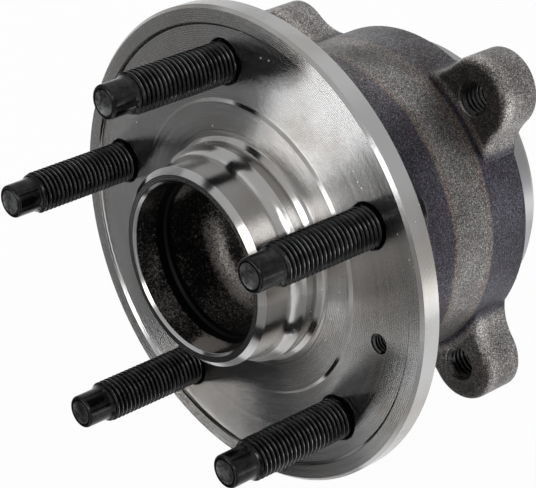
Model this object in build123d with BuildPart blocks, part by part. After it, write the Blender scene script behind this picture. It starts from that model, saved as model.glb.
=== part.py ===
from build123d import *
import os
from math import cos, radians, sin, sqrt

# Wheel hub bearing, third generation, for a wheel that isn't driven: a flanged hub that carries
# the wheel, an outer ring with four lugs that bolts to the knuckle, and two rows of balls between.
#
# Millimetres. The bearing axis is Y and the wheel side is -Y. The origin lies on the axis in the
# plane of the brake disc's mounting face. Z is up, so X is to the right when seen from the wheel.
# A turned profile is drawn in the XY plane: its x is a radius, its y a station along the axis.
# Angles round the axis run clockwise from the top, as seen from the wheel side.

# hub flange
stud_count = 5
stud_circle_d = 108.0
first_stud_angle = -9.7
stud_to_rim = 15.7
flange_rim_t = 7.2
flange_boss_t = 9.6
flange_edge = 0.9
rim_land_w = 5.3
relief_depth = 0.8
relief_to_studs = 11.0

# pilot and nose, with the bowl forged into them
pilot_d = 63.4
pilot_len = 5.1
pilot_edge_w = 0.9
pilot_edge_len = 0.7
pilot_root = 1.2
pilot_root_gap = 0.3
pilot_groove_w = 1.0
pilot_groove_depth = 0.5
nose_step = 2.8
nose_len = 18.8
nose_edge = 1.7
nose_flare = 4.4
nose_wall = 3.4
bowl_edge = 0.8
bowl_step_depth = 10.0
bowl_step = 0.7
bowl_draft = 0.7
bowl_floor_depth = 28.0
bowl_floor_inset = 3.9
bowl_floor_fillet = 6.0

# wheel studs and the screw that holds the disc
stud_d = 12.0
stud_reach = 40.6
stud_edge = 1.0
stud_neck_d = 10.9
stud_thread_sunk = 0.3
dog_d = 9.7
dog_len = 7.4
dog_cone = 1.1
knurl_d = 13.2
knurl_len = 5.6
knurl_lead = 0.5
stud_head_d = 17.6
stud_head_t = 5.5
stud_hole_mouth_d = 13.7
stud_head_edge = 1.2
stud_head_to_neck = 0.5
disc_screw_d = 6.0
disc_screw_after_stud = 1.5

# ball rows, placed from the knuckle's face
mount_face_y = 66.0
row_before_face = 3.5
row_spacing = 21.0
ball_count = 13
ball_d = 12.7
ball_circle_d = 63.0
race_clearance = 0.25
inner_shoulder = 4.6
outer_shoulder = 2.1

# cages
cage_over_land = 0.6
cage_under_land = 1.0
cage_back = 7.2
cage_front = 2.6
pocket_clearance = 0.25

# outer ring
ring_wall = 9.2
ring_before_row = 16.5
ring_edge = 1.2
spigot_wall = 3.5
spigot_len = 9.2
spigot_edge = 1.0
lug_angles = [40.4, 138.8, 222.0, 305.2]
lug_stand = 8.0
lug_r = 11.5
lug_t = 14.0
lug_root_fillet = 16.0
lug_sink = 1.5
lug_front_edge = 2.4
lug_rear_edge = 0.9
knuckle_bolt_d = 10.0
bolt_mouth = 0.35

# hub neck and spindle, and the inner ring that its rolled collar clamps
neck_swell = 4.5
neck_waist_len = 6.3
flinger_shoulder = 1.9
inner_ring_wall = 6.4
inner_ring_w = 20.7
inner_ring_edge = 0.8
inner_ring_recess = 3.7
collar_lap = 5.1
collar_t = 4.4
collar_round = 2.6
collar_hollow_r = 12.0
collar_hollow_depth = 9.0
collar_hollow_edge = 1.5
collar_hollow_taper = 2.0

# outboard seal
sheet_t = 0.8
seal_gap = 0.3
seal_recess = 0.4
flinger_recess = 0.8
seal_depth = 3.6
case_lap = 3.4
lip_t = 1.0
lip_edge = 0.8
lip_root_w = 3.0
face_lip_w = 0.6

# encoder and inboard cap
carrier_grip = 1.5
carrier_len = 2.4
carrier_to_bore = 1.9
encoder_t = 1.1
encoder_w = 5.0
cap_t = 1.2
cap_seat_len = 3.2
cap_brim_to_edge = 1.6
cap_depth = 3.6
cap_round = 1.6
cap_draft = 0.8
cap_dish_r = 22.0
cap_dish = 0.9
cap_dish_slope = 2.5

stud_circle_r = stud_circle_d / 2
flange_r = stud_circle_r + stud_to_rim
relief_outer_r = flange_r - rim_land_w
relief_inner_r = stud_circle_r - relief_to_studs
pilot_r = pilot_d / 2
nose_r = pilot_r - nose_step
bowl_mouth_r = nose_r - nose_wall
bowl_wall_r = bowl_mouth_r - bowl_edge
root_ring_r = pilot_r + pilot_root + pilot_root_gap
neck_top_r = stud_circle_r - stud_head_d / 2 - stud_head_to_neck

ball_r = ball_d / 2
pitch_r = ball_circle_d / 2
groove_r = ball_r + race_clearance
bore_r = pitch_r + groove_r
race_root_r = pitch_r - groove_r
outer_land_r = bore_r - outer_shoulder
inner_land_r = race_root_r + inner_shoulder
spindle_r = race_root_r - inner_ring_wall
collar_r = spindle_r + collar_lap
barrel_r = bore_r + ring_wall
spigot_r = bore_r + spigot_wall
lug_circle_r = barrel_r + lug_stand

ring_rear_y = mount_face_y + spigot_len
inboard_row_y = mount_face_y - row_before_face
outboard_row_y = inboard_row_y - row_spacing
ring_front_y = outboard_row_y - ring_before_row
flinger_y = ring_front_y + flinger_recess
inner_ring_rear_y = ring_rear_y - inner_ring_recess
inner_ring_front_y = inner_ring_rear_y - inner_ring_w
spindle_end_y = inner_ring_rear_y + collar_t


def outboard(station):
    # a plane across the axis that faces the wheel side
    return Plane.XZ.offset(-station)


def around(radius, angle):
    # a place on a plane across the axis, at an angle clockwise from the top
    return (radius * sin(radians(angle)), radius * cos(radians(angle)))


def race_reach(land_r):
    # how far along the axis a groove runs from its root to the edge of a land
    return sqrt(groove_r**2 - (pitch_r - land_r)**2)


def race_arc(row_y, side, land_r):
    # a ball groove's profile, from its root to the edge of a land on one side of the row's plane
    outward = 1 if land_r > pitch_r else -1
    root = (pitch_r + outward * groove_r, row_y)
    middle = (pitch_r + outward * groove_r * cos(radians(35)), row_y + side * groove_r * sin(radians(35)))
    return ThreePointArc(root, middle, (land_r, row_y + side * race_reach(land_r)))


def finish(piece, name):
    piece.part.label = name
    export_step(piece.part, f"parts/{name}.step")


os.makedirs("parts", exist_ok=True)
stud_angles = [first_stud_angle + 360 / stud_count * place for place in range(stud_count)]
stud_places = [around(stud_circle_r, angle) for angle in stud_angles]
lug_places = [around(lug_circle_r, angle) for angle in lug_angles]

# The hub is one forging: nose, pilot, flange, neck, the outboard row's inner race and the spindle,
# whose end is rolled over the loose inner ring.
with BuildPart() as hub:
    with BuildSketch(Plane.XY):
        with BuildLine():
            Polyline(
                (0, -nose_len),
                (nose_r - nose_edge, -nose_len),
                (nose_r, -nose_len + nose_edge),
                (nose_r, -pilot_len - nose_flare),
            )
            flare_end = (pilot_r - pilot_edge_w, -pilot_len - pilot_edge_len)
            TangentArc((nose_r, -pilot_len - nose_flare), flare_end, tangent=(0, 1))
            Polyline(
                flare_end,
                (pilot_r, -pilot_len),
                (pilot_r, -pilot_root - pilot_root_gap),
                (pilot_r + pilot_root, -pilot_root_gap),
                (root_ring_r, pilot_groove_depth),
                (root_ring_r + pilot_groove_w, pilot_groove_depth),
                (root_ring_r + pilot_groove_w + pilot_groove_depth, 0),
                (relief_inner_r - relief_depth / 2, 0),
                (relief_inner_r + relief_depth / 2, relief_depth),
                (relief_outer_r - relief_depth / 2, relief_depth),
                (relief_outer_r + relief_depth / 2, 0),
                (flange_r - flange_edge, 0),
                (flange_r, flange_edge),
                (flange_r, flange_rim_t - flange_edge),
                (flange_r - flange_edge, flange_rim_t),
                (relief_outer_r, flange_rim_t),
                (relief_outer_r - (flange_boss_t - flange_rim_t), flange_boss_t),
                (neck_top_r, flange_boss_t),
                (inner_land_r + neck_swell, flinger_y - neck_waist_len),
                (inner_land_r + flinger_shoulder, flinger_y - sheet_t),
                (inner_land_r, flinger_y - sheet_t),
                (inner_land_r, outboard_row_y - race_reach(inner_land_r)),
            )
            race_arc(outboard_row_y, -1, inner_land_r)
            Polyline(
                (race_root_r, outboard_row_y),
                (race_root_r, inner_ring_front_y),
                (spindle_r, inner_ring_front_y),
                (spindle_r, inner_ring_rear_y),
                (collar_r, inner_ring_rear_y),
                (collar_r, spindle_end_y - collar_round),
            )
            collar_side = (collar_r, spindle_end_y - collar_round)
            collar_top = (collar_r - collar_round, spindle_end_y)
            TangentArc(collar_side, collar_top, tangent=(0, 1))
            Polyline(
                collar_top,
                (collar_hollow_r + collar_hollow_edge, spindle_end_y),
                (collar_hollow_r, spindle_end_y - collar_hollow_edge),
                (collar_hollow_r - collar_hollow_taper, spindle_end_y - collar_hollow_depth),
                (0, spindle_end_y - collar_hollow_depth),
                (0, -nose_len),
            )
        make_face()
    revolve(axis=Axis.Y)

    # the forged bowl in the nose, stepped once and rounded into its floor
    with BuildSketch(Plane.XY) as bowl:
        with BuildLine():
            Polyline(
                (0, -nose_len),
                (bowl_mouth_r, -nose_len),
                (bowl_wall_r, -nose_len + bowl_edge),
                (bowl_wall_r - bowl_draft, -nose_len + bowl_step_depth),
                (bowl_wall_r - bowl_draft - bowl_step, -nose_len + bowl_step_depth + bowl_step),
                (bowl_mouth_r - bowl_floor_inset, -nose_len + bowl_floor_depth),
                (0, -nose_len + bowl_floor_depth),
                (0, -nose_len),
            )
        make_face()
        floor_corner = bowl.vertices().group_by(Axis.Y)[-1].sort_by(Axis.X)[-1]
        fillet(floor_corner, bowl_floor_fillet)
    revolve(axis=Axis.Y, mode=Mode.SUBTRACT)

    # stud holes, countersunk in the relief, and the tapped hole for the disc's screw
    with BuildSketch(outboard(flange_boss_t)):
        with Locations(*stud_places):
            Circle(knurl_d / 2)
    extrude(amount=flange_boss_t, mode=Mode.SUBTRACT)
    mouths = hub.edges().filter_by(GeomType.CIRCLE).filter_by(lambda e: abs(e.radius - knurl_d / 2) < 0.01)
    chamfer(mouths.group_by(Axis.Y)[0], (stud_hole_mouth_d - knurl_d) / 2)
    screw_angle = first_stud_angle + 360 / stud_count * disc_screw_after_stud
    with BuildSketch(outboard(flange_boss_t)):
        with Locations(around(stud_circle_r, screw_angle)):
            Circle(disc_screw_d / 2)
    extrude(amount=flange_boss_t, mode=Mode.SUBTRACT)
finish(hub, "hub")

# Wheel studs: a threaded shank with a plain dog point, a knurl pressed into the flange and a
# round head that seats on the flange's back.
for place, (x, z) in enumerate(stud_places, start=1):
    with BuildPart() as stud:
        with BuildSketch(Plane.XY):
            with BuildLine():
                Polyline(
                    (0, -stud_reach),
                    (dog_d / 2 - stud_edge, -stud_reach),
                    (dog_d / 2, -stud_reach + stud_edge),
                    (dog_d / 2, -stud_reach + dog_len),
                    (stud_d / 2, -stud_reach + dog_len + dog_cone),
                    (stud_d / 2, stud_thread_sunk),
                    (stud_neck_d / 2, stud_thread_sunk + (stud_d - stud_neck_d) / 2),
                    (stud_neck_d / 2, flange_boss_t - knurl_len),
                    (knurl_d / 2, flange_boss_t - knurl_len + knurl_lead),
                    (knurl_d / 2, flange_boss_t),
                    (stud_head_d / 2, flange_boss_t),
                    (stud_head_d / 2, flange_boss_t + stud_head_t - stud_head_edge),
                    (stud_head_d / 2 - stud_head_edge, flange_boss_t + stud_head_t),
                    (0, flange_boss_t + stud_head_t),
                    (0, -stud_reach),
                )
            make_face()
        revolve(axis=Axis.Y)
    stud.part.position = (x, 0, z)
    finish(stud, f"wheel_stud_{place}")

# The inner ring carries the inboard row's inner race and is clamped by the rolled collar.
with BuildPart() as inner_ring:
    with BuildSketch(Plane.XY):
        with BuildLine():
            race_arc(inboard_row_y, 1, inner_land_r)
            Polyline(
                (inner_land_r, inboard_row_y + race_reach(inner_land_r)),
                (inner_land_r, inner_ring_rear_y),
                (spindle_r, inner_ring_rear_y),
                (spindle_r, inner_ring_front_y + inner_ring_edge),
                (spindle_r + inner_ring_edge, inner_ring_front_y),
                (race_root_r, inner_ring_front_y),
                (race_root_r, inboard_row_y),
            )
        make_face()
    revolve(axis=Axis.Y)
finish(inner_ring, "inner_ring")

# The outer ring: a plain barrel whose rear half carries four lugs, and a spigot that enters the
# knuckle. Both outer races are ground in its bore, with a land between them.
with BuildPart() as outer_ring:
    with BuildSketch(outboard(mount_face_y)) as lug_plate:
        Circle(barrel_r - lug_sink)
        with Locations(*lug_places):
            Circle(lug_r)
        fillet(lug_plate.vertices(), lug_root_fillet)
    extrude(amount=lug_t)
    fillet(outer_ring.faces().sort_by(Axis.Y)[0].edges(), lug_front_edge)
    chamfer(outer_ring.faces().sort_by(Axis.Y)[-1].edges(), lug_rear_edge)
    with BuildSketch(Plane.XY):
        with BuildLine():
            Polyline(
                (0, ring_front_y),
                (barrel_r - ring_edge, ring_front_y),
                (barrel_r, ring_front_y + ring_edge),
                (barrel_r, mount_face_y - ring_edge),
                (barrel_r - ring_edge, mount_face_y),
                (spigot_r, mount_face_y),
                (spigot_r, ring_rear_y - spigot_edge),
                (spigot_r - spigot_edge, ring_rear_y),
                (0, ring_rear_y),
                (0, ring_front_y),
            )
        make_face()
    revolve(axis=Axis.Y)
    with BuildSketch(Plane.XY):
        with BuildLine():
            Polyline((bore_r, outboard_row_y), (bore_r, ring_front_y), (0, ring_front_y), (0, ring_rear_y))
            Polyline((0, ring_rear_y), (bore_r, ring_rear_y), (bore_r, inboard_row_y))
            race_arc(inboard_row_y, -1, outer_land_r)
            Line(
                (outer_land_r, inboard_row_y - race_reach(outer_land_r)),
                (outer_land_r, outboard_row_y + race_reach(outer_land_r)),
            )
            race_arc(outboard_row_y, 1, outer_land_r)
        make_face()
    revolve(axis=Axis.Y, mode=Mode.SUBTRACT)
    with BuildSketch(outboard(mount_face_y)):
        with Locations(*lug_places):
            Circle(knuckle_bolt_d / 2)
    extrude(amount=lug_t, mode=Mode.SUBTRACT)
    bolt_edges = outer_ring.edges().filter_by(GeomType.CIRCLE)
    bolt_edges = bolt_edges.filter_by(lambda e: abs(e.radius - knuckle_bolt_d / 2) < 0.01)
    chamfer(bolt_edges, bolt_mouth)
finish(outer_ring, "outer_ring")

# Each row's cage is a crown: a ring on the row's open side with fingers between the balls.
pocket_r = ball_r + pocket_clearance
cage_inner_r = inner_land_r + cage_over_land
cage_outer_r = outer_land_r - cage_under_land
for row, row_y, open_side in (("outboard", outboard_row_y, -1), ("inboard", inboard_row_y, 1)):
    back_y = row_y + open_side * cage_back
    front_y = row_y - open_side * cage_front
    ball_angles = [360 / ball_count * (place + 0.25 * open_side) for place in range(ball_count)]
    ball_places = [around(pitch_r, angle) for angle in ball_angles]
    with BuildPart() as cage:
        with BuildSketch(outboard(max(back_y, front_y))):
            Circle(cage_outer_r)
            Circle(cage_inner_r, mode=Mode.SUBTRACT)
        extrude(amount=cage_back + cage_front)
        pockets = [Plane((x, row_y, z), z_dir=(x, 0, z)) for x, z in ball_places]
        with Locations(*pockets):
            Cylinder(pocket_r, cage_outer_r - cage_inner_r + pocket_r, mode=Mode.SUBTRACT)
    finish(cage, f"{row}_cage")
    for place, (x, z) in enumerate(ball_places, start=1):
        with BuildPart(Plane((x, row_y, z))) as ball:
            Sphere(ball_r)
        finish(ball, f"{row}_ball_{place:02d}")

# The outboard seal: a steel case pressed into the bore with a rubber lip bonded to it, and a
# flinger pressed on the hub that the lip runs against.
case_inner_r = bore_r - sheet_t
case_lip_r = inner_land_r + case_lap
case_back_y = flinger_y + seal_depth
with BuildPart() as seal_case:
    with BuildSketch(Plane.XY):
        with BuildLine():
            Polyline(
                (bore_r, ring_front_y + seal_recess),
                (bore_r, case_back_y),
                (case_lip_r, case_back_y),
                (case_lip_r, case_back_y - sheet_t),
                (case_inner_r, case_back_y - sheet_t),
                (case_inner_r, ring_front_y + seal_recess),
                (bore_r, ring_front_y + seal_recess),
            )
        make_face()
    revolve(axis=Axis.Y)
finish(seal_case, "seal_case")

flinger_r = case_inner_r - seal_gap
with BuildPart() as flinger:
    with BuildSketch(Plane.XY):
        with BuildLine():
            Polyline(
                (inner_land_r, flinger_y - sheet_t),
                (flinger_r, flinger_y - sheet_t),
                (flinger_r, flinger_y),
                (inner_land_r + sheet_t, flinger_y),
                (inner_land_r + sheet_t, case_back_y),
                (inner_land_r, case_back_y),
                (inner_land_r, flinger_y - sheet_t),
            )
        make_face()
    revolve(axis=Axis.Y)
finish(flinger, "seal_flinger")

lip_inner_r = inner_land_r + sheet_t + seal_gap
lip_root_r = lip_inner_r + lip_root_w
lip_front_y = case_back_y - sheet_t - lip_t
with BuildPart() as seal_lip:
    with BuildSketch(Plane.XY):
        with BuildLine():
            Polyline(
                (case_inner_r, case_back_y - sheet_t),
                (case_lip_r, case_back_y - sheet_t),
                (case_lip_r, case_back_y),
                (lip_inner_r + lip_edge, case_back_y),
                (lip_inner_r, case_back_y - lip_edge),
                (lip_inner_r + lip_edge, lip_front_y),
                (lip_root_r, lip_front_y),
                (lip_root_r + lip_edge, flinger_y + seal_gap),
                (lip_root_r + lip_edge + face_lip_w, flinger_y + seal_gap),
                (lip_root_r + lip_edge, lip_front_y + seal_recess),
                (case_inner_r, lip_front_y + seal_recess),
                (case_inner_r, case_back_y - sheet_t),
            )
        make_face()
    revolve(axis=Axis.Y)
finish(seal_lip, "seal_lip")

# The speed encoder: a magnetised ring bonded to a steel carrier pressed on the inner ring.
encoder_y = inner_ring_rear_y - carrier_grip
carrier_back_y = encoder_y + carrier_len
carrier_r = bore_r - carrier_to_bore
with BuildPart() as encoder_carrier:
    with BuildSketch(Plane.XY):
        with BuildLine():
            Polyline(
                (inner_land_r, encoder_y),
                (inner_land_r + sheet_t, encoder_y),
                (inner_land_r + sheet_t, carrier_back_y - sheet_t),
                (carrier_r, carrier_back_y - sheet_t),
                (carrier_r, carrier_back_y),
                (inner_land_r, carrier_back_y),
                (inner_land_r, encoder_y),
            )
        make_face()
    revolve(axis=Axis.Y)
finish(encoder_carrier, "encoder_carrier")

with BuildPart() as encoder_ring:
    with BuildSketch(outboard(carrier_back_y + encoder_t)):
        Circle(carrier_r)
        Circle(carrier_r - encoder_w, mode=Mode.SUBTRACT)
    extrude(amount=encoder_t)
finish(encoder_ring, "encoder_ring")

# The inboard cap is drawn from sheet, pressed into the spigot's bore up to its brim.
cap_top_y = ring_rear_y + cap_depth
cap_brim_r = spigot_r - cap_brim_to_edge
with BuildPart() as cap:
    with BuildSketch(Plane.XY) as cap_section:
        with BuildLine():
            Polyline(
                (0, cap_top_y - cap_dish),
                (cap_dish_r, cap_top_y - cap_dish),
                (cap_dish_r + cap_dish_slope, cap_top_y),
                (bore_r - cap_draft, cap_top_y),
                (bore_r, ring_rear_y + cap_t),
                (cap_brim_r, ring_rear_y + cap_t),
                (cap_brim_r, ring_rear_y),
                (bore_r, ring_rear_y),
                (bore_r, ring_rear_y - cap_seat_len),
                (bore_r - cap_t, ring_rear_y - cap_seat_len),
                (bore_r - cap_t, ring_rear_y),
                (bore_r - cap_t - cap_draft, cap_top_y - cap_t),
                (cap_dish_r + cap_dish_slope, cap_top_y - cap_t),
                (cap_dish_r, cap_top_y - cap_dish - cap_t),
                (0, cap_top_y - cap_dish - cap_t),
                (0, cap_top_y - cap_dish),
            )
        make_face()
    revolve(axis=Axis.Y)
    outer_corner = cap.edges().filter_by(GeomType.CIRCLE).group_by(Axis.Y)[-1].sort_by(SortBy.RADIUS)[-1]
    fillet(outer_corner, cap_round)
finish(cap, "inboard_cap")
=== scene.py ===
import math

import bpy
from mathutils import Matrix, Vector


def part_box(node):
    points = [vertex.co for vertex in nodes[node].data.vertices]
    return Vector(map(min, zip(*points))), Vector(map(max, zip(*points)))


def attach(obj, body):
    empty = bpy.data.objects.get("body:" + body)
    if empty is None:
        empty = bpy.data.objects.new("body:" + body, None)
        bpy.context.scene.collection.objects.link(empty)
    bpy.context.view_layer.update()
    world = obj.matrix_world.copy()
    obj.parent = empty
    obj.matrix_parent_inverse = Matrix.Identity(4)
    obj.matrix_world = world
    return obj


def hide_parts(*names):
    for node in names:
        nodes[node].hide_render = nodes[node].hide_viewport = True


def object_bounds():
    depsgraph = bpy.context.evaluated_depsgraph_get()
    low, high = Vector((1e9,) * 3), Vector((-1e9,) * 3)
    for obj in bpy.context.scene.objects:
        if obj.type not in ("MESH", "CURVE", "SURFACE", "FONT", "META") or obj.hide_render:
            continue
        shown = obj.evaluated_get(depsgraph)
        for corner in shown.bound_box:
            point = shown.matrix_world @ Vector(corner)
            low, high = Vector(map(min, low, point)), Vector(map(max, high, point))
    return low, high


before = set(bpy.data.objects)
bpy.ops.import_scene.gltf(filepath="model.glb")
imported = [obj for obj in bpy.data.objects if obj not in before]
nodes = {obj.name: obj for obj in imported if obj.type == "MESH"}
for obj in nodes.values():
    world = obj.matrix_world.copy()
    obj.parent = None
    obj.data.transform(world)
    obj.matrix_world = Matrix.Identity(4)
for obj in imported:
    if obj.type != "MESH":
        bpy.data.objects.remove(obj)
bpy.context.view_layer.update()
mm = 0.001
bpy.ops.object.select_all(action="DESELECT")
print("frame loaded:", len(nodes), "pieces")


# modelling helpers; profiles are in mm, as (radius, station along the axle)

weld = {"thread": 1e-6, "doubles": 2e-6}  # metres


def selectOnly(obj):
    bpy.ops.object.select_all(action="DESELECT")
    obj.select_set(True)
    bpy.context.view_layer.objects.active = obj


def drawLine(name, points, closed=False):
    # one vertex, extruded from point to point
    bpy.ops.mesh.primitive_plane_add(size=0.001)
    obj = bpy.context.object
    obj.name = name
    bpy.ops.object.mode_set(mode="EDIT")
    bpy.ops.mesh.merge(type="CENTER")
    here = Vector((0, 0, 0))
    for number, (x, y) in enumerate(points):
        there = Vector((x * mm, y * mm, 0))
        if number == 0:
            bpy.ops.transform.translate(value=there)
        else:
            bpy.ops.mesh.extrude_region_move(TRANSFORM_OT_translate={"value": there - here})
        here = there
    if closed:
        bpy.ops.mesh.select_all(action="SELECT")
        bpy.ops.mesh.edge_face_add()
        bpy.ops.mesh.delete(type="ONLY_FACE")
    bpy.ops.object.mode_set(mode="OBJECT")
    return obj


def applyModifier(obj, kind, **settings):
    selectOnly(obj)
    modifier = obj.modifiers.new(kind.lower(), kind)
    for key, value in settings.items():
        setattr(modifier, key, value)
    bpy.ops.object.modifier_apply(modifier=modifier.name)


def editAll(obj):
    # edit mode, with all of the mesh selected
    selectOnly(obj)
    bpy.ops.object.mode_set(mode="EDIT")
    bpy.ops.mesh.select_all(action="SELECT")


def facesOut(obj):
    editAll(obj)
    bpy.ops.mesh.remove_doubles(threshold=weld["doubles"])
    bpy.ops.mesh.normals_make_consistent(inside=False)
    bpy.ops.object.mode_set(mode="OBJECT")


def turnRound(obj, steps):
    # a full turn of a profile round the axle
    applyModifier(obj, "SCREW", axis="Y", angle=math.tau, steps=steps, render_steps=steps,
                  screw_offset=0, use_merge_vertices=True, merge_threshold=weld["thread"],
                  use_smooth_shade=False)
    facesOut(obj)


def windHelix(name, profile, pitch, turns, steps, closed=False):
    # a thread: the profile wound along the axle by its pitch at each turn
    obj = drawLine(name, profile, closed)
    applyModifier(obj, "SCREW", axis="Y", angle=math.tau, steps=steps, render_steps=steps,
                  screw_offset=pitch * mm, iterations=turns, use_merge_vertices=True,
                  merge_threshold=weld["thread"], use_smooth_shade=False)
    facesOut(obj)
    return obj


def cutAt(obj, station, keepBelow):
    # a flat cut across the axle, with the open end filled
    editAll(obj)
    bpy.ops.mesh.bisect(plane_co=(0, station * mm, 0), plane_no=(0, 1, 0), use_fill=True,
                        clear_outer=keepBelow, clear_inner=not keepBelow)
    bpy.ops.object.mode_set(mode="OBJECT")


def closeEnds(obj):
    # fills the two open ends of a wound ridge
    editAll(obj)
    bpy.ops.mesh.select_all(action="DESELECT")
    bpy.ops.mesh.select_mode(type="EDGE")
    bpy.ops.mesh.select_non_manifold()
    bpy.ops.mesh.fill_holes(sides=0)
    bpy.ops.mesh.select_all(action="SELECT")
    bpy.ops.mesh.normals_make_consistent(inside=False)
    bpy.ops.mesh.select_mode(type="VERT")
    bpy.ops.object.mode_set(mode="OBJECT")


def joinTo(kept, other, operation):
    # a Boolean with a helper that isn't needed afterwards
    applyModifier(kept, "BOOLEAN", object=other, operation=operation, solver="EXACT")
    bpy.data.objects.remove(other)


def smoothBy(obj, degrees):
    selectOnly(obj)
    bpy.ops.object.shade_smooth_by_angle(angle=math.radians(degrees))


def arcPoints(centre, radius, start, end, count):
    angles = [math.radians(start + (end - start) * k / count) for k in range(count + 1)]
    return [(centre[0] + radius * math.cos(a), centre[1] + radius * math.sin(a)) for a in angles]


def copyTo(source, name, x, z, spin):
    # its own mesh, turned about its own length and moved to its place
    mesh = source.data.copy()
    mesh.transform(Matrix.Translation((x * mm, 0, z * mm)) @ Matrix.Rotation(math.radians(spin), 4, "Y"))
    obj = bpy.data.objects.new(name, mesh)
    bpy.context.scene.collection.objects.link(obj)
    return obj


# shader helpers

wallShare = 1.37  # the tool's way along a wall, against its way across a face: no chamfer is left unmarked


class Socket:
    # an output that Python's operators add Math nodes to

    def __init__(self, finish, out):
        self.finish = finish
        self.out = out

    def math(self, operation, *others):
        return self.finish.node("Math", {"operation": operation}, self, *others)

    def __add__(self, other):
        return self.math("ADD", other)

    __radd__ = __add__

    def __mul__(self, other):
        return self.math("MULTIPLY", other)

    __rmul__ = __mul__

    def __sub__(self, other):
        return self.math("SUBTRACT", other)

    def __rsub__(self, other):
        return self.finish.node("Math", {"operation": "SUBTRACT"}, other, self)

    def __truediv__(self, other):
        return self.math("DIVIDE", other)

    def __gt__(self, other):
        return self.math("GREATER_THAN", other)

    def __lt__(self, other):
        return self.math("LESS_THAN", other)


class Finish:
    # the nodes of one material, or of the world

    def __init__(self, owner):
        owner.use_nodes = True
        self.owner = owner
        self.tree = owner.node_tree
        self.tree.nodes.clear()

    def node(self, kind, settings, *values, pick=0, at=None, **named):
        made = self.tree.nodes.new("ShaderNode" + kind)
        for key, value in settings.items():
            if key == "stops":
                ramp = made.color_ramp
                while len(ramp.elements) < len(value):
                    ramp.elements.new(0.5)
                for element, (position, color) in zip(ramp.elements, value):
                    element.position = position
                    element.color = (*color, 1)
            else:
                setattr(made, key, value)
        slots = list(enumerate(values)) + list((at or {}).items())
        slots += [(key.replace("_", " "), value) for key, value in named.items()]
        for slot, value in slots:
            socket = made.inputs[slot]
            if isinstance(value, Socket):
                self.tree.links.new(value.out, socket)
            elif socket.type == "RGBA":
                socket.default_value = (*value, 1)
            else:
                socket.default_value = value
        return Socket(self, made.outputs[pick]) if made.outputs else None

    def axes(self):
        # the three coordinates, and the distance from the axle
        self.x, self.y, self.z = (self.node("SeparateXYZ", {}, self.place, pick=axis) for axis in "XYZ")
        self.radius = (self.x * self.x + self.z * self.z).math("SQRT")

    def step(self, value, low, high):
        # 0 below low and 1 above high, smooth between
        return self.node("MapRange", {"interpolation_type": "SMOOTHSTEP"}, value, low, high, 0.0, 1.0)

    def band(self, value, low, high, soft):
        # 1 between low and high, with soft ends
        return self.step(value, low - soft, low + soft) - self.step(value, high - soft, high + soft)

    def noise(self, grain, detail, roughness=0.5):
        return self.node("TexNoise", {}, Vector=self.place, Scale=grain, Detail=detail, Roughness=roughness)

    def blend(self, factor, first, second, kind="MIX"):
        return self.node("Mix", {"data_type": "RGBA", "blend_type": kind}, pick=2,
                         at={0: factor, 6: first, 7: second})

    def vector(self, operation, *values, pick=0):
        return self.node("VectorMath", {"operation": operation}, *values, pick=pick)

    def ridges(self, slope):
        # the normal tilted across the turning lines, which run round the axle
        normal = self.node("NewGeometry", {}, pick="Normal")
        turning = self.node("VectorTransform", {"vector_type": "VECTOR"},
                            self.node("CombineXYZ", {}, self.z, 0.0, self.x * -1.0))
        across = self.vector("CROSS_PRODUCT", normal, self.vector("NORMALIZE", turning))
        tilt = self.node("VectorMath", {"operation": "SCALE"}, across, Scale=slope)
        return self.vector("NORMALIZE", self.vector("ADD", normal, tilt))

    def toolWay(self):
        # how far the tool has come, over the faces and along the walls
        return self.radius + self.y * wallShare

    def lathe(self, feed, slope):
        # the tool's feed leaves a rounded groove at each turn
        return (self.toolWay() * 2.0 / feed).math("PINGPONG", 1.0) * (2 * slope) - slope

    def shader(self, **sockets):
        return self.node("BsdfPrincipled", {}, **sockets)

    def close(self, shader):
        self.node("OutputMaterial", {}, shader)
        return self.owner


def newFinish(name):
    # a material that follows the object's own coordinates
    f = Finish(bpy.data.materials.new(name))
    f.place = f.node("TexCoord", {}, pick="Object")
    return f


def grey(level, warm=0.0):
    # a share of warm moves it from blue towards red
    return (level * (1 + warm), level, level * (1 - warm))


# marks that more than one finish has

spotEdge = {"grain": 300.0, "detail": 3.0, "ragged": 4.0, "core": 0.35}  # ragged in mm, core as a share


def spot(f, place, reach):
    # 1 at a place in mm, falling to 0 at its reach, with a ragged edge
    away = f.node("VectorMath", {"operation": "DISTANCE"}, f.place, tuple(v * mm for v in place), pick="Value")
    ragged = (f.noise(spotEdge["grain"], spotEdge["detail"]) - 0.5) * spotEdge["ragged"] * mm
    return 1 - f.step(away + ragged, spotEdge["core"] * reach * mm, reach * mm)


def forgedGrain(f, made):
    # fine grit that glints, pits and soft patches, each with its grain and its share of the tone
    grit = f.noise(made["grit"][0], 2.0, 0.6)
    pits = f.noise(made["pits"][0], 3.0, 0.55)
    patches = f.noise(made["patches"][0], 3.0, 0.5)
    mixed = grit * made["grit"][1] + pits * made["pits"][1] + patches * made["patches"][1]
    bump = f.node("Bump", {}, Strength=made["bump"], Distance=made["relief"], Height=grit * 0.6 + pits * 0.8)
    return pits, patches, mixed, bump


def tinted(f, tone, zone, amount, color):
    # the tone times a colour, by some amount, where the zone is 1
    return f.blend(zone * amount, tone, f.blend(1.0, tone, color, "MULTIPLY"))


# the hub: turned steel outside, forging scale in the bowl and behind the flange

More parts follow.
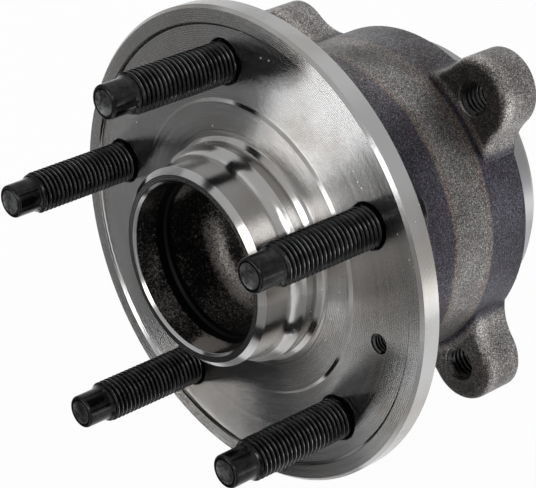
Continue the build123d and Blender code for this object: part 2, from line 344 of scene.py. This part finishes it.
turned = {
    "color": grey(0.64, 0.012), "roughness": 0.13,
    # the nose was turned finer than the flange
    "feed": 0.23 * mm, "slope": 0.22, "noseSlope": 0.05, "noseEnd": -0.5 * mm, "noseRadius": 33.0 * mm,
    # slow changes from turn to turn, and the turns that show as rings
    "bandWidth": 1.6 * mm, "bandSlope": 0.3, "bandRough": 0.06,
    "ringFeed": 0.62 * mm, "ringSlope": 0.025, "ringShade": grey(0.83)}
stain = {"color": (0.52, 0.49, 0.46), "grain": 30.0, "edge": (0.40, 0.68), "rough": 0.05}
# handling nicks and dust, small and pale; scuffs are places in mm that have more of them
nick = {
    "color": grey(0.85), "grain": 640.0, "edge": (0.06, 0.18), "rarity": 0.80, "cover": 0.85, "rough": 0.35,
    "dull": 0.5, "regionGrain": 55.0, "regionEdge": (0.52, 0.72), "reach": 9.0, "gain": 1.6,
    "scuffs": [(6.5, 0.8, 59.2), (23.7, 0.8, 38.4), (40.0, 0.8, 37.9), (34.6, 0.8, -2.4)]}
# black oxide over a blasted surface
scale = {
    "bowlRadius": 24.75 * mm, "bowlFloor": 9.9 * mm, "flangeBack": 7.35 * mm, "flangeEdge": 67.4 * mm,
    "studs": 5, "studCircle": 54.0 * mm, "studAngle": -9.7, "spotFace": 10.6 * mm,
    "grit": (3200.0, 0.55), "pits": (1100.0, 0.3), "patches": (70.0, 0.3), "bump": 0.55, "relief": 0.00012,
    "tones": [(0.42, grey(0.002)), (0.60, grey(0.007)), (0.78, (0.42, 0.38, 0.35))],
    "metallic": 0.5, "roughness": 0.46, "patchRough": 0.3, "specular": 0.2,
    # spots lighter on the bowl's wall: partly worn through the coat where the forging was gripped, partly painted
    # highlight; place and reach in mm, amount
    "wornAndLit": [((3.0, -14.5, -24.3), 8.0, 0.26), ((-23.0, -16.5, -9.0), 9.0, 0.08),
             ((-15.5, -16.0, -19.0), 9.0, 0.04), ((-20.5, -6.0, 13.8), 7.0, 0.14)],
    # part of a ring on the bowl's floor is lighter as a painted highlight, and the step inside the bowl is darker as
    # painted shade
    "floorRing": {"radius": (18.5 * mm, 22.5 * mm), "station": (4.0 * mm, 9.6 * mm), "soft": 1.0 * mm,
                  "side": (12.0 * mm, 20.0 * mm), "amount": 0.13},
    "bowlStep": {"station": (-11.0 * mm, -7.0 * mm), "soft": 0.6 * mm, "amount": 0.30}}


def besideSeats(f):
    # 0 on the seats cut for the stud heads, 1 elsewhere
    clear = 1.0
    for number in range(scale["studs"]):
        angle = math.radians(scale["studAngle"] + 360 / scale["studs"] * number)
        x, z = scale["studCircle"] * math.sin(angle), scale["studCircle"] * math.cos(angle)
        away = ((f.x - x) * (f.x - x) + (f.z - z) * (f.z - z)).math("SQRT")
        clear = (away > scale["spotFace"]) * clear
    return clear


def forgedCoat(f):
    s, floorRing, bowlStep = scale, scale["floorRing"], scale["bowlStep"]
    pits, patches, mixed, bump = forgedGrain(f, s)
    # painted highlight: part of a ring on the bowl's floor, on its lower left, made lighter
    wornAndLit = f.band(f.radius, *floorRing["radius"], floorRing["soft"])
    wornAndLit = wornAndLit * f.band(f.y, *floorRing["station"], floorRing["soft"])
    lowLeft = (f.x + f.z) * -0.7
    wornAndLit = wornAndLit * f.step(lowLeft, *floorRing["side"]) * floorRing["amount"]
    # the spots: partly worn through the coat, partly painted highlight
    for place, reach, amount in s["wornAndLit"]:
        wornAndLit = wornAndLit + spot(f, place, reach) * amount
    # painted shade: the step inside the bowl made darker
    shade = f.band(f.y, *bowlStep["station"], bowlStep["soft"]) * (f.radius < s["bowlRadius"])
    tone = f.node("ValToRGB", {"stops": s["tones"]}, mixed + wornAndLit - shade * bowlStep["amount"])
    return f.shader(Base_Color=tone, Metallic=s["metallic"], Normal=bump, Specular_IOR_Level=s["specular"],
                    Roughness=s["roughness"] - (patches - 0.5) * s["patchRough"])


def turnedSteel():
    t = turned
    f = newFinish("turnedSteel")
    f.axes()
    bands = f.node("TexNoise", {"noise_dimensions": "1D"}, W=f.toolWay() / t["bandWidth"], Scale=1.0, Detail=3.0)
    nose = (f.y < t["noseEnd"]) * (f.radius < t["noseRadius"])
    rings = f.lathe(t["ringFeed"], 1.0)
    slope = f.lathe(t["feed"], 1.0) * (t["slope"] - nose * (t["slope"] - t["noseSlope"]))
    slope = slope * (1 - t["bandSlope"] / 2 + bands * t["bandSlope"]) + rings * t["ringSlope"]

    stained = f.step(f.noise(stain["grain"], 4.0), *stain["edge"])
    cell = f.node("TexVoronoi", {}, Vector=f.place, Scale=nick["grain"], pick="Distance")
    chance = f.node("SeparateXYZ", {}, f.node("TexVoronoi", {}, Vector=f.place, Scale=nick["grain"], pick="Color"))
    region = f.step(f.noise(nick["regionGrain"], 2.0), *nick["regionEdge"])
    for place in nick["scuffs"]:
        region = region.math("MAXIMUM", spot(f, place, nick["reach"]) * nick["gain"])
    nicked = (1 - f.step(cell, *nick["edge"])) * (chance > nick["rarity"]) * region

    color = f.blend(stained, t["color"], stain["color"])
    color = f.blend(0.5 + rings * 0.5, f.blend(1.0, color, t["ringShade"], "MULTIPLY"), color)
    color = f.blend(nicked * nick["cover"], color, nick["color"])
    rough = t["roughness"] + (bands - 0.5) * t["bandRough"] + stained * stain["rough"] + nicked * nick["rough"]
    steel = f.shader(Base_Color=color, Metallic=1.0 - nicked * nick["dull"], Roughness=rough,
                     Normal=f.ridges(slope))

    bowl = (f.radius < scale["bowlRadius"]) * (f.y < scale["bowlFloor"])
    back = (f.y > scale["flangeBack"]) * (f.radius < scale["flangeEdge"]) * besideSeats(f)
    return f.close(f.node("MixShader", {}, bowl.math("MAXIMUM", back), steel, forgedCoat(f)))


# the outer ring: a forging with heat-hardened bands over its two ball tracks

ring = {
    "barrel": 47.9 * mm, "face": 65.8 * mm, "bore": 45.9 * mm, "lugFace": 52.0 * mm,
    "frontBand": 36.4 * mm, "rearBand": 50.6 * mm,
    "grit": (3400.0, 0.66), "pits": (1300.0, 0.22), "patches": (60.0, 0.20), "bump": 0.7, "relief": 0.00014,
    "tones": [(0.44, (0.055, 0.049, 0.047)), (0.56, (0.20, 0.187, 0.180)), (0.70, (0.74, 0.72, 0.70))],
    "metallic": 0.85, "roughness": 0.42, "patchRough": 0.2,
    # how far the edges of the bands wander with the patches and the pits, in mm
    "wander": 2.4, "fray": 1.0,
    # the bands are weaker on one side: the least of them, and where they grow
    "heatLeast": 0.55, "heatSide": (8.0 * mm, 34.0 * mm), "sideWander": 20.0,
    # amount and colour that each zone multiplies the tone by; on the lugs these are painted light: lighter all over,
    # painted shade on the seat, painted highlight along the edge by it
    "lug": (0.5, (1.7, 1.7, 1.7)), "blue": (0.9, (0.27, 0.265, 0.36)), "brown": (0.55, (0.95, 0.62, 0.48)),
    "lugSeatShade": (0.75, (0.16, 0.15, 0.14)), "lugEdgeHighlight": (0.5, (1.9, 1.85, 1.8))}
machined = {"color": grey(0.42, 0.01), "roughness": 0.28, "feed": 0.22 * mm, "slope": 0.10}


def forgedSteel():
    f = newFinish("forgedSteel")
    f.axes()

    def past(value, edge, low, high):
        # 0 to 1 over an edge of the ring, low and high in mm from it
        return f.step(value, ring[edge] + low * mm, ring[edge] + high * mm)

    def around(value, edge, low, high, soft):
        # 1 between low and high, in mm from an edge of the ring
        return f.band(value, ring[edge] + low * mm, ring[edge] + high * mm, soft * mm)

    pits, patches, mixed, bump = forgedGrain(f, ring)
    station = f.y + (patches - 0.5) * ring["wander"] * mm + (pits - 0.5) * ring["fray"] * mm
    side = f.step(f.x + (patches - 0.5) * ring["sideWander"] * mm, *ring["heatSide"])
    heated = (1 - past(f.radius, "barrel", -0.2, 1.2)) * (ring["heatLeast"] + (1 - ring["heatLeast"]) * side)
    lug = past(f.radius, "barrel", 0.6, 2.4)
    zones = {
        # painted highlight: the lugs lighter all over
        "lug": lug,
        "blue": (1 - past(station, "frontBand", -1.0, 0.3)).math(
            "MAXIMUM", past(station, "rearBand", -0.2, 1.2)) * heated,
        "brown": around(station, "frontBand", -0.3, 1.2, 0.9).math(
            "MAXIMUM", around(station, "rearBand", -1.5, 0.0, 0.9)) * heated,
        # painted shade on the lug's seat face
        "lugSeatShade": (1 - past(station, "lugFace", 0.1, 1.4)) * past(f.radius, "barrel", 1.6, 3.2),
        # painted highlight along the lug's edge by the seat
        "lugEdgeHighlight": around(station, "lugFace", 1.4, 4.6, 1.0) * lug}
    tone = f.node("ValToRGB", {"stops": ring["tones"]}, mixed)
    for name, zone in zones.items():
        tone = tinted(f, tone, zone, *ring[name])
    forged = f.shader(Base_Color=tone, Metallic=ring["metallic"], Normal=bump,
                      Roughness=ring["roughness"] - (patches - 0.5) * ring["patchRough"])
    cut = f.shader(Base_Color=machined["color"], Metallic=1.0, Roughness=machined["roughness"],
                   Normal=f.ridges(f.lathe(machined["feed"], machined["slope"])))
    onCut = (f.y > ring["face"]).math("MAXIMUM", f.radius < ring["bore"])
    return f.close(f.node("MixShader", {}, onCut, forged, cut))


# finishes of the smaller parts

smallTurned = {"marks": 90.0, "shade": 0.8, "rough": 0.12, "feed": 0.20 * mm}
smallPlain = {"shade": 0.75, "rough": 0.14, "relief": 0.0001}
phosphate = {"grain": 1500.0, "smears": 260.0, "edge": (0.38, 0.66), "metallic": 0.9, "rough": 0.2,
             "relief": 0.00006}


def turnedPart(name, color, roughness, slope):
    s = smallTurned
    f = newFinish(name)
    f.axes()
    marks = f.noise(s["marks"], 4.0, 0.6)
    tone = f.blend(marks, [level * s["shade"] for level in color], color)
    return f.close(f.shader(Base_Color=tone, Metallic=1.0, Roughness=roughness + (marks - 0.5) * s["rough"],
                            Normal=f.ridges(f.lathe(s["feed"], slope))))


def plainPart(name, color, metallic, roughness, grain, height):
    s = smallPlain
    f = newFinish(name)
    marks = f.noise(grain, 4.0, 0.6)
    tone = f.blend(marks, [level * s["shade"] for level in color], color)
    bump = f.node("Bump", {}, Strength=height, Distance=s["relief"], Height=marks)
    return f.close(f.shader(Base_Color=tone, Metallic=metallic, Normal=bump,
                            Roughness=roughness + (marks - 0.5) * s["rough"]))


def blackPhosphate(name, dark, light, roughness, height):
    # an oiled coat, with smears of the oil over its grain
    p = phosphate
    f = newFinish(name)
    marks = f.noise(p["grain"], 3.0, 0.6)
    smears = f.noise(p["smears"], 4.0, 0.6)
    tone = f.blend(f.step(smears * 0.7 + marks * 0.3, *p["edge"]), dark, light)
    bump = f.node("Bump", {}, Strength=height, Distance=p["relief"], Height=marks + smears)
    return f.close(f.shader(Base_Color=tone, Metallic=p["metallic"], Normal=bump,
                            Roughness=roughness + (smears - 0.5) * p["rough"]))


finishes = {
    "hub": turnedSteel(),
    "outer_ring": forgedSteel(),
    "inner_ring": turnedPart("groundSteel", grey(0.62), 0.16, 0.05),
    "seal_case": turnedPart("pressedSteel", grey(0.50, 0.01), 0.34, 0.04),
    "inboard_cap": turnedPart("capSteel", grey(0.52, 0.02), 0.36, 0.06),
    "seal_lip": plainPart("sealRubber", grey(0.030), 0.0, 0.60, 700.0, 0.3),
    "encoder_ring": plainPart("magnetRubber", (0.045, 0.040, 0.036), 0.0, 0.50, 900.0, 0.3),
    "cage": plainPart("cagePlastic", (0.55, 0.47, 0.33), 0.0, 0.45, 300.0, 0.2),
    "ball": plainPart("ballSteel", grey(0.76), 1.0, 0.10, 200.0, 0.0),
}
studFinish = blackPhosphate("blackPhosphate", grey(0.016), grey(0.042), 0.15, 0.2)
dogEndFinish = blackPhosphate("wornPhosphate", grey(0.04), grey(0.24), 0.30, 0.6)
# the thread crests lighter: partly the coat rubbed through, partly painted highlight
crestFinish = blackPhosphate("rubbedLitPhosphate", grey(0.12), grey(0.34), 0.16, 0.2)
# the threads inside the tapped holes are dark grey: painted shade of the holes
shadedThreadFinish = plainPart("shadedCutThread", grey(0.09, 0.02), 1.0, 0.22, 900.0, 0.3)
sharedFinish = {"seal_flinger": "seal_case", "encoder_carrier": "seal_case"}
for name, obj in nodes.items():
    key = "ball" if "_ball_" in name else "cage" if name.endswith("_cage") else sharedFinish.get(name, name)
    if key in finishes:  # the studs are replaced further down
        for place in obj.material_slots:
            place.material = finishes[key]
print("finishes made")


# wheel studs: rolled thread, dog point, neck, knurl and head

stud = {
    "crest": 6.0, "root": 5.12, "pitch": 1.5, "threadEnd": 0.3, "steps": 40, "smooth": 42,
    # the dog point and the slight hollow in its end, as (radius, depth below the tip)
    "tip": -40.6, "dogRadius": 4.85, "dogRound": 0.75, "dogEnd": -33.2,
    "hollow": [(0, 0.22), (2.6, 0.16), (3.5, 0.03), (3.8, 0.0)],
    # the cone that starts the thread, and the undercut before and after it
    "coneStart": 4.65, "coneEnd": 6.5, "coneLength": 2.9, "undercut": 4.6, "runOut": 5.2,
    "neck": 5.45, "knurl": 6.6, "knurlStart": 4.0, "seat": 9.6,
    "head": 8.8, "headTop": 15.1, "headRound": 1.4, "headHollow": 4.4, "headDepth": 0.35,
    # the worn end and crests: reach of the end, and how thin the lighter crest is; the crest is partly rubbed through
    # the coat, partly painted highlight
    "wornEnd": 3.5, "wornDepth": 0.3, "wornLitCrest": 0.07,
    "angles": (57, 164, 289, 31, 222)}


def threadProfile(root, crest, pitch):
    # one pitch of a rolled thread, its crest rounded
    corner = (crest - root) * 0.12
    return [(root, 0.0), (root, 0.10 * pitch), (crest - corner, 0.38 * pitch), (crest, 0.45 * pitch),
            (crest, 0.55 * pitch), (crest - corner, 0.62 * pitch), (root, 0.90 * pitch), (root, pitch)]


def threadedRod():
    s = stud
    start = s["dogEnd"] - 2 * s["pitch"]
    profile = [(x, y + start) for x, y in threadProfile(s["root"], s["crest"], s["pitch"])]
    turns = round((s["threadEnd"] - start) / s["pitch"]) + 2
    rod = windHelix("stud_model", profile, s["pitch"], turns, s["steps"])
    cutAt(rod, s["dogEnd"] - 0.4, False)
    cutAt(rod, s["threadEnd"] + 0.6, True)
    # the cone at the front, and the run-out at the flange
    cone = s["dogEnd"] - 0.7
    limit = drawLine("thread_limit", [(0, cone), (s["coneStart"], cone), (s["coneEnd"], cone + s["coneLength"]),
                                      (s["coneEnd"], s["threadEnd"] - 0.6), (s["runOut"], s["threadEnd"] + 0.7),
                                      (0, s["threadEnd"] + 0.7)])
    turnRound(limit, 64)
    joinTo(rod, limit, "INTERSECT")
    return rod


def studBody():
    s = stud
    top, soft = s["tip"], s["dogRound"]
    outline = [(x, top + depth) for x, depth in s["hollow"]]
    outline += arcPoints((s["dogRadius"] - soft, top + soft), soft, -90, 0, 6)
    outline += [(s["dogRadius"], s["dogEnd"] - 0.1), (s["undercut"], s["dogEnd"] + 0.3),
                (s["undercut"], s["threadEnd"] + 0.1), (s["neck"], s["threadEnd"] + 0.4),
                (s["neck"], s["knurlStart"]), (s["knurl"], s["knurlStart"] + 0.6), (s["knurl"], s["seat"]),
                (s["head"] - 0.3, s["seat"]), (s["head"], s["seat"] + 0.3)]
    outline += arcPoints((s["head"] - s["headRound"], s["headTop"] - s["headRound"]), s["headRound"], 0, 90, 6)
    floor = s["headTop"] - s["headDepth"]
    outline += [(s["headHollow"], s["headTop"]), (s["headHollow"] - 0.4, floor), (0, floor)]
    body = drawLine("stud_body", outline)
    turnRound(body, 64)
    return body


def makeStud():
    s = stud
    rod = threadedRod()
    joinTo(rod, studBody(), "UNION")
    smoothBy(rod, s["smooth"])
    rod.data.materials.clear()
    for finish in (studFinish, dogEndFinish, crestFinish):
        rod.data.materials.append(finish)
    for face in rod.data.polygons:
        reach = math.hypot(face.center.x, face.center.z)
        onEnd = face.center.y < (s["tip"] + s["wornDepth"]) * mm and reach < s["wornEnd"] * mm
        # crest faces get the lighter finish: partly wear, partly painted highlight
        onCrest = face.center.y < s["threadEnd"] * mm and reach > (s["crest"] - s["wornLitCrest"]) * mm
        face.material_index = 1 if onEnd else 2 if onCrest else 0
    return rod


studModel = makeStud()
for number, spin in enumerate(stud["angles"], start=1):
    node = f"wheel_stud_{number}"
    low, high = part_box(node)
    centre = (Vector(low) + Vector(high)) / 2 / mm
    piece = copyTo(studModel, f"threaded_stud_{number}", centre.x, centre.z, spin)
    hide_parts(node)
    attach(piece, "hub")
bpy.data.objects.remove(studModel)
print("studs threaded")


# threads in the tapped holes: a ridge wound inside each hole

tapped = {
    "discScrew": {"radius": 3.0, "pitch": 1.0, "front": 1.2, "rear": 9.2, "circle": 54.0, "angles": (98.3,)},
    "knuckle": {"radius": 5.0, "pitch": 1.5, "front": 52.8, "rear": 65.4, "circle": 55.3,
                "angles": (40.4, 138.8, 222.0, 305.2)},
    # the ridge: its height in pitches, how deep its root is sunk into the hole in mm, the turn between holes
    "height": 0.56, "sunk": 0.03, "steps": 40, "smooth": 40, "spin": 83}


def tapHoles(name, size, body):
    r, p = size["radius"], size["pitch"]
    root, crest = r + tapped["sunk"], r - tapped["height"] * p
    profile = [(root, 0.05 * p), (crest, 0.40 * p), (crest, 0.58 * p), (root, 0.95 * p)]
    profile = [(x, y + size["front"]) for x, y in profile]
    turns = round((size["rear"] - size["front"]) / p) - 1
    model = windHelix(name + "_model", profile, p, turns, tapped["steps"], closed=True)
    closeEnds(model)
    smoothBy(model, tapped["smooth"])
    model.data.materials.clear()
    # dark grey: painted shade inside the hole
    model.data.materials.append(shadedThreadFinish)
    for number, angle in enumerate(size["angles"], start=1):
        a = math.radians(angle)
        piece = copyTo(model, f"{name}_{number}", size["circle"] * math.sin(a), size["circle"] * math.cos(a),
                       tapped["spin"] * number)
        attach(piece, body)
    bpy.data.objects.remove(model)


tapHoles("disc_screw_thread", tapped["discScrew"], "hub")
tapHoles("knuckle_thread", tapped["knuckle"], "outer_ring")
print("holes tapped")


# studio

# focal length, size and optical axis in pixels; place in metres, angles in degrees
view = {"place": (0.40261, -0.36062, 0.28386), "azimuth": 48.67, "elevation": 28.416, "focal": 2185.0,
        "wide": 536.0, "high": 488.0, "axisX": 224.9, "axisY": 275.4, "sensor": 36.0, "clip": (0.02, 20.0)}
studioFloor = {"size": 12.0, "paper": grey(0.8), "white": 0.97}
# the tent is darker above than below, and never quite black; rise is where it changes
tent = {"upper": 0.56, "lower": 0.92, "rise": (-0.25, 0.5), "least": 0.02, "tint": (0.98, 0.99, 1.0),
        "grazing": 0.05, "cutSoft": 0.012}
panels = [
    # aim and up directions, half width and height as tangents, softness, light added or held back;
    # cuts are the normals of flags, which shade one side of a panel
    {"name": "key", "aim": (0.42, -0.80, 0.42), "up": (0.0, 0.0, 1.0), "half": (0.15, 0.15), "soft": 0.03,
     "level": 5.0},
    {"name": "top", "aim": (-0.25, 0.30, 0.92), "up": (0.0, 1.0, 0.0), "half": (0.50, 0.50), "soft": 0.20,
     "level": 0.25},
    {"name": "fan", "aim": (-0.540, -0.823, -0.173), "up": (0.421, -0.443, 0.792), "half": (0.50, 0.21), "soft": 0.03,
     "level": 3.6, "cuts": [(0.743, -0.512, -0.431), (-0.644, 0.134, 0.754)]},
    {"name": "right card", "aim": (0.77, 0.57, -0.24), "up": (0.0, 0.3, 1.0), "half": (0.35, 0.10), "soft": 0.04,
     "level": 1.0},
    {"name": "right gap", "aim": (0.84, 0.48, 0.10), "up": (0.0, 0.0, 1.0), "half": (0.45, 0.28), "soft": 0.16,
     "level": -0.28},
    {"name": "low right", "aim": (-0.32, -0.72, -0.615), "up": (0.0, 0.0, 1.0), "half": (0.15, 0.14), "soft": 0.05,
     "level": 1.3},
    {"name": "front gap", "aim": (0.80, -0.58, -0.05), "up": (0.0, 0.0, 1.0), "half": (0.34, 0.34), "soft": 0.20,
     "level": -0.76},
    {"name": "under gap", "aim": (0.40, -0.58, -0.70), "up": (0.0, 1.0, 0.0), "half": (0.36, 0.40), "soft": 0.20,
     "level": -0.62},
    {"name": "left gap", "aim": (-0.888, -0.389, -0.245), "up": (-0.455, 0.667, 0.590), "half": (0.66, 0.57),
     "soft": 0.03, "level": -0.55},
    {"name": "low gap", "aim": (-0.489, -0.455, -0.744), "up": (-0.872, 0.255, 0.418), "half": (0.79, 0.35),
     "soft": 0.03, "level": -0.66},
]


def makeCamera():
    # upright, with the lens shifted to the optical axis
    data = bpy.data.cameras.new("camera")
    data.sensor_width = view["sensor"]
    data.lens = view["focal"] / view["wide"] * data.sensor_width
    data.shift_x = (view["wide"] / 2 - view["axisX"]) / view["wide"]
    data.shift_y = (view["axisY"] - view["high"] / 2) / view["wide"]
    data.clip_start, data.clip_end = view["clip"]
    camera = bpy.data.objects.new("camera", data)
    bpy.context.scene.collection.objects.link(camera)
    a, e = math.radians(view["azimuth"]), math.radians(view["elevation"])
    back = Vector((math.sin(a) * math.cos(e), -math.cos(a) * math.cos(e), math.sin(e)))
    camera.location = view["place"]
    camera.rotation_euler = back.to_track_quat("Z", "Y").to_euler()
    bpy.context.scene.camera = camera


def makeFloor():
    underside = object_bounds()[0][2]
    bpy.ops.mesh.primitive_plane_add(size=studioFloor["size"], location=(0, 0, underside))
    floor = bpy.context.object
    floor.name = "studio_floor"
    f = Finish(bpy.data.materials.new("studioFloor"))
    paper = f.node("BsdfDiffuse", {}, studioFloor["paper"])
    white = f.node("Emission", {}, (1.0, 1.0, 1.0), 1.0)
    seen = f.node("LightPath", {}, pick="Is Camera Ray")
    floor.data.materials.append(f.close(f.node("MixShader", {}, seen * studioFloor["white"], paper, white)))
    floor.visible_glossy = False  # metal sees the tent, which goes on under the floor
    floor.visible_diffuse = False
    floor.visible_shadow = False


def panelMask(f, direction, panel):
    # a soft-edged rectangle of light in the tent
    aim = Vector(panel["aim"]).normalized()
    up = Vector(panel["up"])
    up = (up - aim * up.dot(aim)).normalized()
    side = aim.cross(up)
    ahead = f.vector("DOT_PRODUCT", direction, tuple(aim), pick="Value")
    mask = ahead > tent["grazing"]
    for axis, half in ((side, panel["half"][0]), (up, panel["half"][1])):
        off = (f.vector("DOT_PRODUCT", direction, tuple(axis), pick="Value") / ahead).math("ABSOLUTE")
        mask = mask * (1 - f.step(off, half - panel["soft"], half + panel["soft"]))
    for cut in panel.get("cuts", []):
        mask = mask * f.step(f.vector("DOT_PRODUCT", direction, cut, pick="Value"), -tent["cutSoft"],
                             tent["cutSoft"])
    return mask * panel["level"]


def makeTent():
    # light from all round, with the panels in it; the camera sees white behind the object
    world = bpy.data.worlds.new("lightTent")
    bpy.context.scene.world = world
    f = Finish(world)
    direction = f.node("TexCoord", {}, pick="Generated")
    rise = f.node("SeparateXYZ", {}, direction, pick="Z")
    level = tent["lower"] + f.step(rise, *tent["rise"]) * (tent["upper"] - tent["lower"])
    for panel in panels:
        level = level + panelMask(f, direction, panel)
    soft = f.node("Background", {}, tent["tint"], level.math("MAXIMUM", tent["least"]))
    white = f.node("Background", {}, (1.0, 1.0, 1.0), 1.0)
    seen = f.node("LightPath", {}, pick="Is Camera Ray")
    f.node("OutputWorld", {}, f.node("MixShader", {}, seen, soft, white))


makeCamera()
makeFloor()
makeTent()
bpy.context.scene.view_settings.view_transform = "Standard"
print("studio lit")
